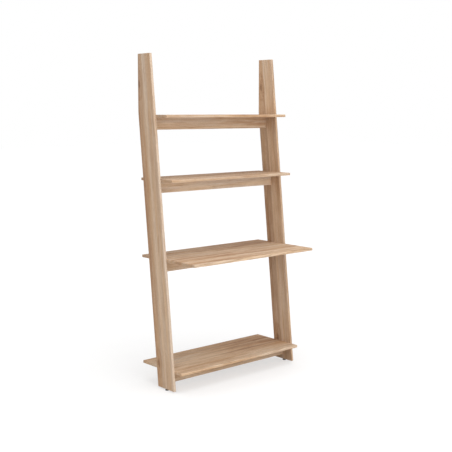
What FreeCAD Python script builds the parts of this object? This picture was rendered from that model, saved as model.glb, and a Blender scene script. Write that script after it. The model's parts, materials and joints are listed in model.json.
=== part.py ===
import FreeCAD
import Part
import Sketcher
import os

# A leaning ladder desk in solid oak. Two leaning uprights carry a top shelf, a second shelf, a deeper
# desk top and a bottom shelf, each with a rail on edge under it. Cam fittings and dowels join the boards,
# a screw foot levels each upright, and two brackets behind the top rail hold the desk to the wall.
#
# The frame: +X to the right, +Y towards the wall, +Z up, in millimetres. The origin lies on the floor
# under the middle of the desk's outline, so the wall is the plane y = desk_depth / 2. A "reach" is a
# distance out from that wall, and a "level" is the height of a shelf's upper face.

SIZES = [
    ("total_height", 1850, "floor to the top of the uprights"),
    ("inner_width", 900, "between the uprights, and the length of every shelf and rail"),
    ("upright_foot_reach", 305, "wall to an upright's front edge at its lower end"),
    ("upright_top_reach", 109, "wall to an upright's front edge at its top end"),
    ("upright_width", 143, "an upright from front to back, measured level"),
    ("upright_thickness", 15, "an upright's board"),
    ("shelf_thickness", 15, "a shelf's board"),
    ("rail_thickness", 15, "a rail's board"),
    ("rail_height", 68, "a rail from top to bottom"),
    ("edge_round", 1.2, "radius of the eased edges of the boards"),
    ("top_level", 1517, "upper face of the top shelf"),
    ("top_depth", 236, "wall to the front edge of the top shelf"),
    ("top_rail_reach", 66, "wall to the front face of the top rail"),
    ("second_level", 1168, "upper face of the second shelf"),
    ("second_depth", 280, "wall to the front edge of the second shelf"),
    ("second_rail_reach", 114, "wall to the front face of the second rail"),
    ("desk_level", 732, "upper face of the desk top"),
    ("desk_depth", 470, "wall to the front edge of the desk top"),
    ("desk_rail_reach", 160, "wall to the front face of the desk rail"),
    ("bottom_level", 119, "upper face of the bottom shelf"),
    ("bottom_depth", 353, "wall to the front edge of the bottom shelf"),
    ("bottom_rail_reach", 230, "wall to the front face of the bottom rail"),
    ("fit_gap", 0.05, "gap all round a dowel, disc, bolt thread or insert in its hole"),
    ("hole_spare", 0.5, "depth that a blind hole has beyond what goes into it"),
    ("front_fitting_inset", 35, "upright's front edge to the cam bolt of a shelf"),
    ("rear_fitting_inset", 35, "upright's rear edge to the dowel of a shelf"),
    ("rail_cam_drop", 22, "top of a rail to its cam bolts"),
    ("rail_dowel_drop", 50, "top of a rail to the dowels in its ends"),
    ("rail_dowel_inset", 150, "end of a rail to the nearest dowel in its top edge"),
    ("dowel_diameter", 8, "wooden dowel"),
    ("dowel_length", 30, "wooden dowel"),
    ("dowel_bite", 10, "length of a dowel that goes into a board's face"),
    ("dowel_chamfer", 1, "chamfer at a dowel's ends"),
    ("cam_diameter", 15, "cam disc"),
    ("cam_thickness", 12, "cam disc"),
    ("cam_reach", 24, "end of a board to the axis of its cam disc"),
    ("cam_chamber", 8.4, "diameter of the room for the bolt's head in the disc"),
    ("cam_slot", 4.6, "width of the slot for the bolt's neck"),
    ("cam_roof", 3.5, "thickness of the disc over that room"),
    ("cross_length", 4.2, "length of one arm of the disc's cross recess"),
    ("cross_width", 1.6, "width of one arm of the disc's cross recess"),
    ("cross_depth", 2, "depth of the disc's cross recess"),
    ("bolt_thread_diameter", 5, "cam bolt, where it screws into an upright"),
    ("bolt_thread_length", 11, "cam bolt, where it screws into an upright"),
    ("bolt_pitch", 2, "between two rings of the cam bolt's coarse thread"),
    ("bolt_thread_depth", 0.7, "depth of the cam bolt's thread"),
    ("bolt_shank_diameter", 6, "cam bolt, inside the board's end"),
    ("bolt_shank_length", 15, "cam bolt, inside the board's end"),
    ("bolt_neck_diameter", 4, "cam bolt, where the disc grips it"),
    ("bolt_head_diameter", 6.4, "cam bolt's head"),
    ("bolt_head_length", 3, "cam bolt's head"),
    ("bolt_hole_diameter", 7, "hole for the cam bolt in a board's end"),
    ("foot_height", 8, "floor to the lower end of an upright, feet screwed in"),
    ("pad_diameter", 20, "foot pad"),
    ("pad_height", 5, "foot pad below its collar"),
    ("pad_round", 1.4, "radius of the foot pad's rims"),
    ("collar_width", 11, "across the flats of the foot pad's collar"),
    ("stem_diameter", 6, "threaded stem of a foot"),
    ("stem_length", 22, "stem above the collar, feet screwed in"),
    ("stem_root", 5, "stem inside the foot pad"),
    ("stem_pitch", 1, "between two rings of the stem's thread"),
    ("stem_thread_depth", 0.55, "depth of the stem's thread"),
    ("stem_hole_diameter", 7, "room for the stem above the insert"),
    ("stem_gap", 0.05, "running gap all round a stem in its insert"),
    ("insert_diameter", 9.6, "threaded insert in an upright's lower end"),
    ("insert_length", 15, "threaded insert in an upright's lower end"),
    ("bracket_inset", 110, "end of the top shelf to the middle of a wall bracket"),
    ("bracket_width", 44, "wall bracket"),
    ("bracket_shelf_leg", 30, "bracket's leg under the top shelf"),
    ("bracket_wall_leg", 32, "bracket's leg on the wall"),
    ("bracket_thickness", 2, "sheet steel of the bracket"),
    ("bracket_bend", 1.5, "inner radius of the bracket's bend"),
    ("bracket_corner", 5, "radius of the bracket's free corners"),
    ("wall_hole_diameter", 5.5, "bracket's hole for a wall screw"),
    ("wall_hole_drop", 19, "top of the bracket to that hole"),
    ("screw_spacing", 24, "between the two screws of a bracket"),
    ("screw_reach", 18, "wall to the screws of a bracket"),
    ("screw_diameter", 3.5, "bracket screw"),
    ("screw_length", 13, "bracket screw, head to point"),
    ("screw_head_diameter", 7, "bracket screw"),
    ("screw_head_rim", 0.3, "straight edge of the screw's head"),
    ("screw_point", 3, "length of the screw's point"),
    ("screw_pitch", 1.6, "between two rings of the screw's thread"),
    ("screw_thread_depth", 0.5, "depth of the screw's thread"),
    ("screw_hole_gap", 0.3, "gap all round a screw in the bracket"),
    ("screw_cross_length", 1.9, "length of one arm of the screw's cross recess"),
    ("screw_cross_width", 0.8, "width of one arm of the screw's cross recess"),
    ("screw_cross_depth", 1.4, "depth of the screw's cross recess"),
]

TIERS = ["top", "second", "desk", "bottom"]
SHELF_NAMES = {"top": "top_shelf", "second": "second_shelf", "desk": "desk_top", "bottom": "bottom_shelf"}
SIDES = {"left": -1, "right": 1}
WALL = "Sizes.desk_depth / 2"
END = "Sizes.inner_width / 2"
RAIL_DOWELS = [f"Sizes.rail_dowel_inset - {END}", None, f"{END} - Sizes.rail_dowel_inset"]

# Where a sketch starts before its constraints move it, and how near counts as the same place.
ROUGH = 10.0
SMALL = 1e-6

# The V of a thread ring is this share of the pitch where it is twice as wide as at the crest.
RING_WIDTH = 1.3

# The seat of a flat screw head opens at this angle, in degrees.
COUNTERSINK = 90

Vector = FreeCAD.Vector
doc = FreeCAD.newDocument("LadderDesk")
sheet = doc.addObject("Spreadsheet::Sheet", "Sizes")
nodes = []


def fill_sheet():
    """One row for each driving dimension: its name, its value under the same alias, and its meaning."""
    for row, (name, value, meaning) in enumerate(SIZES, start=1):
        sheet.set(f"A{row}", name)
        sheet.set(f"B{row}", str(value))
        sheet.set(f"C{row}", meaning)
        sheet.setAlias(f"B{row}", name)
    doc.recompute()


def size(name):
    return float(sheet.get(name))


# Where things lie, as expressions of the sheet.


def front_reach(height):
    """Wall to the front edge of an upright at a height: the edge is one straight line."""
    run = "(Sizes.upright_foot_reach - Sizes.upright_top_reach)"
    rise = "(Sizes.total_height - Sizes.foot_height)"
    return f"(Sizes.upright_foot_reach - {run} * ({height} - Sizes.foot_height) / {rise})"


def bend_height():
    """Floor to the place where the rear edge of an upright meets the wall."""
    run = "(Sizes.upright_foot_reach - Sizes.upright_top_reach)"
    rise = "(Sizes.total_height - Sizes.foot_height)"
    return f"Sizes.foot_height + (Sizes.upright_foot_reach - Sizes.upright_width) * {rise} / {run}"


def fittings(tier):
    """Reach and drop below the tier's level of the four fittings in each end of a shelf and its rail."""
    shelf_drop = "Sizes.shelf_thickness / 2"
    front = front_reach(f"(Sizes.{tier}_level - {shelf_drop})")
    rail_reach = f"(Sizes.{tier}_rail_reach - Sizes.rail_thickness / 2)"
    return {
        "shelf_cam": (f"({front} - Sizes.front_fitting_inset)", shelf_drop),
        "shelf_dowel": (f"({front} - Sizes.upright_width + Sizes.rear_fitting_inset)", shelf_drop),
        "rail_cam": (rail_reach, "(Sizes.shelf_thickness + Sizes.rail_cam_drop)"),
        "rail_dowel": (rail_reach, "(Sizes.shelf_thickness + Sizes.rail_dowel_drop)"),
    }


# Helpers for bodies and sketches.


def new_body(label):
    body = doc.addObject("PartDesign::Body", label)
    body.Label = label
    return body


def new_node(label):
    """A body that is a sub-part of the desk."""
    body = new_body(label)
    nodes.append(body)
    return body


def place(thing, across=None, along=None, up=None):
    """Binds the place of a body or a copy to the sheet."""
    for axis, expression in (("x", across), ("y", along), ("z", up)):
        if expression is not None:
            thing.setExpression(f"Placement.Base.{axis}", expression)


def plane_of(body, role):
    return next(feature for feature in body.Origin.OriginFeatures if feature.Role == role)


def new_sketch(body, name, role, offset=None):
    sketch = body.newObject("Sketcher::SketchObject", name)
    sketch.AttachmentSupport = [(plane_of(body, role), "")]
    sketch.MapMode = "FlatFace"
    if offset is not None:
        sketch.setExpression("AttachmentOffset.Base.z", offset)
    return sketch


def bind(sketch, kind, anchors, expression):
    """A driving constraint whose value comes from the sheet."""
    number = sketch.addConstraint(Sketcher.Constraint(kind, *anchors, ROUGH))
    sketch.setExpression(f"Constraints[{number}]", expression)


def bind_point(sketch, geometry, point, across, up):
    """Ties a point to its place; a coordinate of None puts it on the sketch's own axis."""
    if across is None:
        sketch.addConstraint(Sketcher.Constraint("PointOnObject", geometry, point, -2))
    else:
        bind(sketch, "DistanceX", (-1, 1, geometry, point), across)
    if up is None:
        sketch.addConstraint(Sketcher.Constraint("PointOnObject", geometry, point, -1))
    else:
        bind(sketch, "DistanceY", (-1, 1, geometry, point), up)


def add_loop(sketch, corners):
    """Closes a loop of lines through rough corners and returns the lines' numbers."""
    first = len(sketch.Geometry)
    count = len(corners)
    for number in range(count):
        start = Vector(*corners[number], 0)
        end = Vector(*corners[(number + 1) % count], 0)
        sketch.addGeometry(Part.LineSegment(start, end))
    lines = list(range(first, first + count))
    for number in range(count):
        here = lines[number]
        following = lines[(number + 1) % count]
        sketch.addConstraint(Sketcher.Constraint("Coincident", here, 2, following, 1))
    return lines


def add_rectangle(sketch, left, low, right, high):
    """An upright rectangle between two corners; a side of None lies on the sketch's own axis."""
    lines = add_loop(sketch, [(0, 0), (ROUGH, 0), (ROUGH, ROUGH), (0, ROUGH)])
    for line, kind in zip(lines, ("Horizontal", "Vertical", "Horizontal", "Vertical")):
        sketch.addConstraint(Sketcher.Constraint(kind, line))
    bind_point(sketch, lines[0], 1, left, low)
    bind_point(sketch, lines[2], 1, right, high)


def add_circle(sketch, across, up, diameter):
    circle = sketch.addGeometry(Part.Circle(Vector(ROUGH, ROUGH, 0), Vector(0, 0, 1), ROUGH / 2))
    bind(sketch, "Diameter", (circle,), diameter)
    bind_point(sketch, circle, 3, across, up)


def add_profile(sketch, points):
    """A closed outline through points given as (across, up) expressions."""
    count = len(points)
    rough = [(ROUGH * (1 + number % 2), ROUGH * number) for number in range(count)]
    lines = add_loop(sketch, rough)
    for line, (across, up) in zip(lines, points):
        bind_point(sketch, line, 1, across, up)


def new_pad(body, name, sketch, length, reverse=False, both_ways=False):
    pad = body.newObject("PartDesign::Pad", name)
    pad.Profile = sketch
    pad.setExpression("Length", length)
    pad.Reversed = reverse
    if both_ways:
        pad.SideType = "Symmetric"
    doc.recompute()
    return pad


def check_cut(body, before, name):
    """A cut that points away from the board removes nothing and shows no error."""
    doc.recompute()
    if body.Shape.Volume > before - SMALL:
        raise RuntimeError(f"{body.Label}: {name} cut nothing")


def cut_pocket(body, name, sketch, depth, reverse=False):
    before = body.Shape.Volume
    pocket = body.newObject("PartDesign::Pocket", name)
    pocket.Profile = sketch
    pocket.setExpression("Length", depth)
    pocket.Reversed = reverse
    check_cut(body, before, name)
    return pocket


def drill(body, name, sketch, diameter, depth, reverse=False, countersink=None):
    """Flat-bottomed round holes at the centres of the sketch's circles."""
    doc.recompute()
    before = body.Shape.Volume
    hole = body.newObject("PartDesign::Hole", name)
    hole.Profile = sketch
    hole.ThreadType = "None"
    hole.DepthType = "Dimension"
    hole.DrillPoint = "Flat"
    hole.Reversed = reverse
    hole.setExpression("Diameter", diameter)
    hole.setExpression("Depth", depth)
    if countersink is not None:
        hole.HoleCutType = "Countersink"
        hole.HoleCutCustomValues = True
        hole.HoleCutCountersinkAngle = COUNTERSINK
        hole.setExpression("HoleCutDiameter", countersink)
    check_cut(body, before, name)
    return hole


def mirror_across_middle(body, name, features):
    """Repeats cuts at the other end of a board that is centred on the desk's middle plane."""
    mirrored = body.newObject("PartDesign::Mirrored", name)
    mirrored.Originals = features
    mirrored.MirrorPlane = (plane_of(body, "YZ_Plane"), [""])
    body.Tip = mirrored
    doc.recompute()


def round_edges(body, name, base, radius, chosen):
    """Eases the edges of a feature for which chosen(edge) is true."""
    edges = [f"Edge{number}" for number, edge in enumerate(base.Shape.Edges, start=1) if chosen(edge)]
    fillet = body.newObject("PartDesign::Fillet", name)
    fillet.Base = (base, edges)
    fillet.setExpression("Radius", radius)
    doc.recompute()
    return fillet


def runs_along(edge, axis):
    box = edge.BoundBox
    spans = {"x": box.XLength, "y": box.YLength, "z": box.ZLength}
    return spans[axis] > SMALL and all(span < SMALL for name, span in spans.items() if name != axis)


# The uprights. Each body's own origin lies on the wall and the floor, in the upright's inner face.


def draw_upright_outline(sketch):
    """Level ends, a straight front edge, and a rear edge parallel to it that meets the wall part way up."""
    add_profile(sketch, [
        ("-Sizes.upright_foot_reach", "Sizes.foot_height"),
        ("Sizes.upright_width - Sizes.upright_foot_reach", "Sizes.foot_height"),
        (None, bend_height()),
        (None, "Sizes.total_height"),
        ("-Sizes.upright_top_reach", "Sizes.total_height"),
    ])


def drill_upright(body, side, kind, diameter, depth):
    """The holes of one kind of fitting, for the shelf and the rail of every tier."""
    sketch = new_sketch(body, f"{kind}_places", "YZ_Plane")
    for tier in TIERS:
        for owner in ("shelf", "rail"):
            reach, drop = fittings(tier)[f"{owner}_{kind}"]
            add_circle(sketch, f"-{reach}", f"Sizes.{tier}_level - {drop}", diameter)
    drill(body, f"{kind}_holes", sketch, diameter, depth, reverse=side > 0)


def drill_foot_hole(body, side, name, diameter, depth):
    sketch = new_sketch(body, f"{name}_place", "XY_Plane", "Sizes.foot_height")
    middle = f"{side} * Sizes.upright_thickness / 2"
    add_circle(sketch, middle, "-(Sizes.upright_foot_reach - Sizes.upright_width / 2)", diameter)
    drill(body, name, sketch, diameter, depth, reverse=True)


def make_upright(name, side):
    body = new_node(f"{name}_upright")
    outline = new_sketch(body, "outline", "YZ_Plane")
    draw_upright_outline(outline)
    board = new_pad(body, "board", outline, "Sizes.upright_thickness", reverse=side < 0)

    def is_not_the_bend(edge):
        middle = edge.CenterOfMass
        at_the_top = middle.z > size("total_height") - SMALL
        return not (runs_along(edge, "x") and abs(middle.y) < SMALL and not at_the_top)

    round_edges(body, "eased_edges", board, "Sizes.edge_round", is_not_the_bend)
    bolt_hole = "Sizes.bolt_thread_diameter + 2 * Sizes.fit_gap"
    drill_upright(body, side, "cam", bolt_hole, "Sizes.bolt_thread_length + Sizes.hole_spare")
    dowel_hole = "Sizes.dowel_diameter + 2 * Sizes.fit_gap"
    drill_upright(body, side, "dowel", dowel_hole, "Sizes.dowel_bite + Sizes.hole_spare")
    insert_hole = "Sizes.insert_diameter + 2 * Sizes.fit_gap"
    drill_foot_hole(body, side, "insert_hole", insert_hole, "Sizes.insert_length")
    stem_depth = "Sizes.stem_length + Sizes.hole_spare"
    drill_foot_hole(body, side, "stem_hole", "Sizes.stem_hole_diameter", stem_depth)
    place(body, f"{side} * {END}", WALL)


# The shelves. Each body's own origin lies on the wall, in the middle of the shelf's underside.


def drill_shelf_ends(body, tier):
    """A cam disc's seat, its bolt's hole and a dowel's hole in the right end, and their mirror images."""
    cam_reach, _ = fittings(tier)["shelf_cam"]
    dowel_reach, _ = fittings(tier)["shelf_dowel"]
    middle = "Sizes.shelf_thickness / 2"
    cam_seat = "Sizes.cam_diameter + 2 * Sizes.fit_gap"
    dowel_hole = "Sizes.dowel_diameter + 2 * Sizes.fit_gap"

    cam_place = new_sketch(body, "cam_place", "XY_Plane")
    add_circle(cam_place, f"{END} - Sizes.cam_reach", f"-{cam_reach}", cam_seat)
    cam = drill(body, "cam_seat", cam_place, cam_seat, "Sizes.cam_thickness", reverse=True)

    bolt_place = new_sketch(body, "bolt_place", "YZ_Plane", END)
    add_circle(bolt_place, f"-{cam_reach}", middle, "Sizes.bolt_hole_diameter")
    bolt = drill(body, "bolt_hole", bolt_place, "Sizes.bolt_hole_diameter", "Sizes.cam_reach")

    dowel_place = new_sketch(body, "dowel_place", "YZ_Plane", END)
    add_circle(dowel_place, f"-{dowel_reach}", middle, dowel_hole)
    depth = "Sizes.dowel_length - Sizes.dowel_bite + Sizes.hole_spare"
    dowel = drill(body, "dowel_hole", dowel_place, dowel_hole, depth)
    mirror_across_middle(body, "left_end", [cam, bolt, dowel])


def drill_for_rail_dowels(body, along, depth, reverse):
    """Three holes in a row, which the dowels between a shelf and its rail share."""
    diameter = "Sizes.dowel_diameter + 2 * Sizes.fit_gap"
    sketch = new_sketch(body, "rail_dowel_places", "XY_Plane")
    for across in RAIL_DOWELS:
        add_circle(sketch, across, along, diameter)
    drill(body, "rail_dowel_holes", sketch, diameter, depth, reverse)


def drill_for_bracket_screws(body):
    diameter = "Sizes.screw_diameter + 2 * Sizes.fit_gap"
    sketch = new_sketch(body, "bracket_screw_places", "XY_Plane")
    for across in bracket_screw_places():
        add_circle(sketch, across, "-Sizes.screw_reach", diameter)
    depth = "Sizes.screw_length - Sizes.bracket_thickness + Sizes.hole_spare"
    drill(body, "bracket_screw_holes", sketch, diameter, depth, reverse=True)


def make_shelf(tier):
    body = new_node(SHELF_NAMES[tier])
    outline = new_sketch(body, "outline", "XY_Plane")
    add_rectangle(outline, f"-{END}", f"-Sizes.{tier}_depth", END, None)
    board = new_pad(body, "board", outline, "Sizes.shelf_thickness")
    round_edges(body, "eased_edges", board, "Sizes.edge_round", lambda edge: True)
    drill_shelf_ends(body, tier)
    rail_reach, _ = fittings(tier)["rail_cam"]
    drill_for_rail_dowels(body, f"-{rail_reach}", "Sizes.dowel_bite + Sizes.hole_spare", reverse=True)
    if tier == "top":
        drill_for_bracket_screws(body)
    place(body, along=WALL, up=f"Sizes.{tier}_level - Sizes.shelf_thickness")


# The rails. Each body's own origin lies in the middle of the top edge of the rail's front face.


def drill_rail_ends(body):
    middle = "Sizes.rail_thickness / 2"
    cam_seat = "Sizes.cam_diameter + 2 * Sizes.fit_gap"
    dowel_hole = "Sizes.dowel_diameter + 2 * Sizes.fit_gap"

    cam_place = new_sketch(body, "cam_place", "XZ_Plane", "-Sizes.rail_thickness")
    add_circle(cam_place, f"{END} - Sizes.cam_reach", "-Sizes.rail_cam_drop", cam_seat)
    cam = drill(body, "cam_seat", cam_place, cam_seat, "Sizes.cam_thickness", reverse=True)

    bolt_place = new_sketch(body, "bolt_place", "YZ_Plane", END)
    add_circle(bolt_place, middle, "-Sizes.rail_cam_drop", "Sizes.bolt_hole_diameter")
    bolt = drill(body, "bolt_hole", bolt_place, "Sizes.bolt_hole_diameter", "Sizes.cam_reach")

    dowel_place = new_sketch(body, "dowel_place", "YZ_Plane", END)
    add_circle(dowel_place, middle, "-Sizes.rail_dowel_drop", dowel_hole)
    depth = "Sizes.dowel_length - Sizes.dowel_bite + Sizes.hole_spare"
    dowel = drill(body, "dowel_hole", dowel_place, dowel_hole, depth)
    mirror_across_middle(body, "left_end", [cam, bolt, dowel])


def make_rail(tier):
    body = new_node(f"{tier}_rail")
    outline = new_sketch(body, "outline", "XZ_Plane")
    add_rectangle(outline, f"-{END}", "-Sizes.rail_height", END, None)
    board = new_pad(body, "board", outline, "Sizes.rail_thickness", reverse=True)
    low = SMALL - size("rail_height")
    round_edges(body, "eased_edges", board, "Sizes.edge_round",
                lambda edge: runs_along(edge, "x") and edge.CenterOfMass.z < low)
    drill_rail_ends(body)
    depth = "Sizes.dowel_length - Sizes.dowel_bite + Sizes.hole_spare"
    drill_for_rail_dowels(body, "Sizes.rail_thickness / 2", depth, reverse=False)
    along = f"{WALL} - Sizes.{tier}_rail_reach"
    place(body, along=along, up=f"Sizes.{tier}_level - Sizes.shelf_thickness")


# The fasteners. One body holds the shape of each kind, and copies of it are placed tier by tier.


def make_thread_rings(body, name, radius, depth, pitch, start, length):
    """Cuts V rings round a shank, which stand for its thread: one ring, repeated along the axis.

    The V reaches as far outside the shank as it does inside, so that its flanks leave the crest cleanly."""
    sketch = new_sketch(body, f"{name}_ring", "XZ_Plane")
    middle = f"({start} + {pitch} / 2)"
    half = f"{pitch} * {RING_WIDTH} / 2"
    add_profile(sketch, [
        (f"{radius} - {depth}", middle),
        (f"{radius} + {depth}", f"{middle} - {half}"),
        (f"{radius} + {depth}", f"{middle} + {half}"),
    ])
    doc.recompute()
    before = body.Shape.Volume
    ring = body.newObject("PartDesign::Groove", name)
    ring.Profile = sketch
    ring.ReferenceAxis = (sketch, ["V_Axis"])
    ring.Angle = 360
    check_cut(body, before, name)
    rings = body.newObject("PartDesign::LinearPattern", f"{name}_rings")
    rings.Originals = [ring]
    rings.Direction = (plane_of(body, "Z_Axis"), [""])
    rings.Mode = "Spacing"
    rings.setExpression("Offset", pitch)
    rings.setExpression("Occurrences", f"floor({length} / ({pitch}) + {SMALL})")
    body.Tip = rings
    doc.recompute()


def make_revolved(body, name, points):
    """A body turned round its own Z axis from a half profile of (radius, height) expressions."""
    sketch = new_sketch(body, name, "XZ_Plane")
    add_profile(sketch, points)
    turned = body.newObject("PartDesign::Revolution", f"{name}_turned")
    turned.Profile = sketch
    turned.ReferenceAxis = (sketch, ["V_Axis"])
    turned.Angle = 360
    doc.recompute()


def cut_cross(body, length, width, depth, reverse=False):
    """A cross recess in the face z = 0: one arm, repeated four times round the axis."""
    arm = new_sketch(body, "cross_arm", "XY_Plane")
    add_rectangle(arm, None, f"-{width} / 2", length, f"{width} / 2")
    first = cut_pocket(body, "cross_first", arm, depth, reverse)
    cross = body.newObject("PartDesign::PolarPattern", "cross")
    cross.Originals = [first]
    cross.Axis = (plane_of(body, "Z_Axis"), [""])
    cross.Angle = 360
    cross.Occurrences = 4
    body.Tip = cross
    doc.recompute()


def make_dowel():
    """Centred on the origin, along Z."""
    body = new_body("dowel")
    section = new_sketch(body, "section", "XY_Plane")
    add_circle(section, None, None, "Sizes.dowel_diameter")
    rod = new_pad(body, "rod", section, "Sizes.dowel_length", both_ways=True)
    ends = body.newObject("PartDesign::Chamfer", "chamfered_ends")
    ends.Base = (rod, [f"Edge{n}" for n, edge in enumerate(rod.Shape.Edges, start=1) if edge.isClosed()])
    ends.setExpression("Size", "Sizes.dowel_chamfer")
    doc.recompute()
    return body


def make_cam_bolt():
    """The thread points down -Z into the upright, whose face is z = 0, and the head is up in the disc."""
    body = new_body("cam_bolt")
    thread = "Sizes.bolt_thread_diameter / 2"
    shank = "Sizes.bolt_shank_diameter / 2"
    neck = "Sizes.bolt_neck_diameter / 2"
    head = "Sizes.bolt_head_diameter / 2"
    head_low = "Sizes.cam_reach - Sizes.bolt_head_length / 2"
    head_high = "Sizes.cam_reach + Sizes.bolt_head_length / 2"
    make_revolved(body, "profile", [
        (None, "-Sizes.bolt_thread_length"),
        (thread, "-Sizes.bolt_thread_length"),
        (thread, None),
        (shank, None),
        (shank, "Sizes.bolt_shank_length"),
        (neck, "Sizes.bolt_shank_length"),
        (neck, head_low),
        (head, head_low),
        (head, head_high),
        (None, head_high),
    ])
    make_thread_rings(body, "thread", thread, "Sizes.bolt_thread_depth", "Sizes.bolt_pitch",
                      "-Sizes.bolt_thread_length", "Sizes.bolt_thread_length")
    return body


def make_cam_disc():
    """The outer face is z = 0 with its cross, and the slot for the bolt opens towards +X."""
    body = new_body("cam_disc")
    section = new_sketch(body, "section", "XY_Plane")
    add_circle(section, None, None, "Sizes.cam_diameter")
    new_pad(body, "disc", section, "Sizes.cam_thickness", reverse=True)
    room = "Sizes.cam_thickness - Sizes.cam_roof"
    chamber = new_sketch(body, "chamber_section", "XY_Plane", "-Sizes.cam_thickness")
    add_circle(chamber, None, None, "Sizes.cam_chamber")
    cut_pocket(body, "chamber", chamber, room, reverse=True)
    slot = new_sketch(body, "slot_section", "XY_Plane", "-Sizes.cam_thickness")
    add_rectangle(slot, None, "-Sizes.cam_slot / 2", "Sizes.cam_diameter", "Sizes.cam_slot / 2")
    cut_pocket(body, "slot", slot, room, reverse=True)
    cut_cross(body, "Sizes.cross_length", "Sizes.cross_width", "Sizes.cross_depth")
    return body


def make_bracket_screw():
    """The flat head's face is z = 0 and the point is up in the shelf."""
    body = new_body("bracket_screw")
    head = "Sizes.screw_head_diameter / 2"
    shank = "Sizes.screw_diameter / 2"
    cone = "(Sizes.screw_head_diameter - Sizes.screw_diameter) / 2"
    shoulder = "Sizes.screw_length - Sizes.screw_point"
    make_revolved(body, "profile", [
        (None, None),
        (head, None),
        (head, "Sizes.screw_head_rim"),
        (shank, f"Sizes.screw_head_rim + {cone}"),
        (shank, shoulder),
        (None, "Sizes.screw_length"),
    ])
    start = f"(Sizes.screw_head_rim + {cone} + Sizes.screw_pitch / 2)"
    make_thread_rings(body, "thread", shank, "Sizes.screw_thread_depth", "Sizes.screw_pitch",
                      start, f"({shoulder} - {start})")
    cut_cross(body, "Sizes.screw_cross_length", "Sizes.screw_cross_width", "Sizes.screw_cross_depth",
              reverse=True)
    return body


def copy_of(shape, turn, across, along, up):
    """One more fastener of a kind, turned and placed."""
    copy = doc.addObject("App::Link", f"{shape.Label}_copy")
    copy.LinkedObject = shape
    copy.Placement = FreeCAD.Placement(Vector(0, 0, 0), turn)
    place(copy, across, along, up)
    return copy


def group(label, copies, along, up):
    """Identical fasteners that share one node."""
    together = doc.addObject("Part::Compound", label)
    together.Label = label
    together.Links = copies
    place(together, along=along, up=up)
    nodes.append(together)


def tier_dowels(tier, dowel):
    """Two dowels in the shelf's ends, two in the rail's ends, and three between the rail and the shelf."""
    up = Vector(0, 0, 1)
    level_turn = FreeCAD.Rotation(up, Vector(1, 0, 0))
    middle = "Sizes.dowel_length / 2 - Sizes.dowel_bite"
    copies = []
    for side in SIDES.values():
        for kind in ("shelf_dowel", "rail_dowel"):
            reach, drop = fittings(tier)[kind]
            across = f"{side} * ({END} - ({middle}))"
            copies.append(copy_of(dowel, level_turn, across, f"-{reach}", f"-{drop}"))
    reach, _ = fittings(tier)["rail_cam"]
    height = f"-(Sizes.shelf_thickness + {middle})"
    for across in RAIL_DOWELS:
        copies.append(copy_of(dowel, FreeCAD.Rotation(), across, f"-{reach}", height))
    group(f"{tier}_dowels", copies, WALL, f"Sizes.{tier}_level")


def tier_cam_bolts(tier, bolt):
    """One bolt in each end of the shelf and of the rail, its head towards the desk's middle."""
    copies = []
    for side in SIDES.values():
        turn = FreeCAD.Rotation(Vector(0, 0, 1), Vector(-side, 0, 0))
        for kind in ("shelf_cam", "rail_cam"):
            reach, drop = fittings(tier)[kind]
            copies.append(copy_of(bolt, turn, f"{side} * {END}", f"-{reach}", f"-{drop}"))
    group(f"{tier}_cam_bolts", copies, WALL, f"Sizes.{tier}_level")


def tier_cam_discs(tier, disc):
    """A disc in the underside of the shelf and in the back of the rail, slots towards the uprights."""
    copies = []
    reach, _ = fittings(tier)["shelf_cam"]
    rail_back = f"-(Sizes.{tier}_rail_reach - Sizes.rail_thickness)"
    rail_drop = "-(Sizes.shelf_thickness + Sizes.rail_cam_drop)"
    for side in SIDES.values():
        slot = Vector(side, 0, 0)
        across = f"{side} * ({END} - Sizes.cam_reach)"
        down = Vector(0, 0, -1)
        turn = FreeCAD.Rotation(slot, down.cross(slot), down, "ZXY")
        copies.append(copy_of(disc, turn, across, f"-{reach}", "-Sizes.shelf_thickness"))
        back = Vector(0, 1, 0)
        turn = FreeCAD.Rotation(slot, back.cross(slot), back, "ZXY")
        copies.append(copy_of(disc, turn, across, rail_back, rail_drop))
    group(f"{tier}_cam_discs", copies, WALL, f"Sizes.{tier}_level")


# The feet. Each body's own origin lies on the floor, on the axis of the foot.


def place_on_foot_axis(body, side):
    across = f"{side} * ({END} + Sizes.upright_thickness / 2)"
    along = f"{WALL} - (Sizes.upright_foot_reach - Sizes.upright_width / 2)"
    place(body, across, along)


def make_foot_insert(name, side):
    """A steel sleeve, flush with the lower end of the upright."""
    body = new_node(f"{name}_foot_insert")
    section = new_sketch(body, "section", "XY_Plane", "Sizes.foot_height")
    add_circle(section, None, None, "Sizes.insert_diameter")
    add_circle(section, None, None, "Sizes.stem_diameter + 2 * Sizes.stem_gap")
    new_pad(body, "sleeve", section, "Sizes.insert_length")
    place_on_foot_axis(body, side)


def make_foot_stem(name, side):
    body = new_node(f"{name}_foot_stem")
    root = "(Sizes.foot_height - Sizes.stem_root)"
    section = new_sketch(body, "section", "XY_Plane", root)
    add_circle(section, None, None, "Sizes.stem_diameter")
    rod = new_pad(body, "rod", section, "Sizes.stem_length + Sizes.stem_root")
    tip = body.newObject("PartDesign::Chamfer", "tip")
    high = rod.Shape.BoundBox.ZMax - SMALL
    tip.Base = (rod, [f"Edge{n}" for n, edge in enumerate(rod.Shape.Edges, start=1)
                      if edge.CenterOfMass.z > high])
    tip.setExpression("Size", "Sizes.stem_thread_depth")
    make_thread_rings(body, "thread", "Sizes.stem_diameter / 2", "Sizes.stem_thread_depth",
                      "Sizes.stem_pitch", "Sizes.foot_height", "Sizes.stem_length")
    place_on_foot_axis(body, side)


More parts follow.
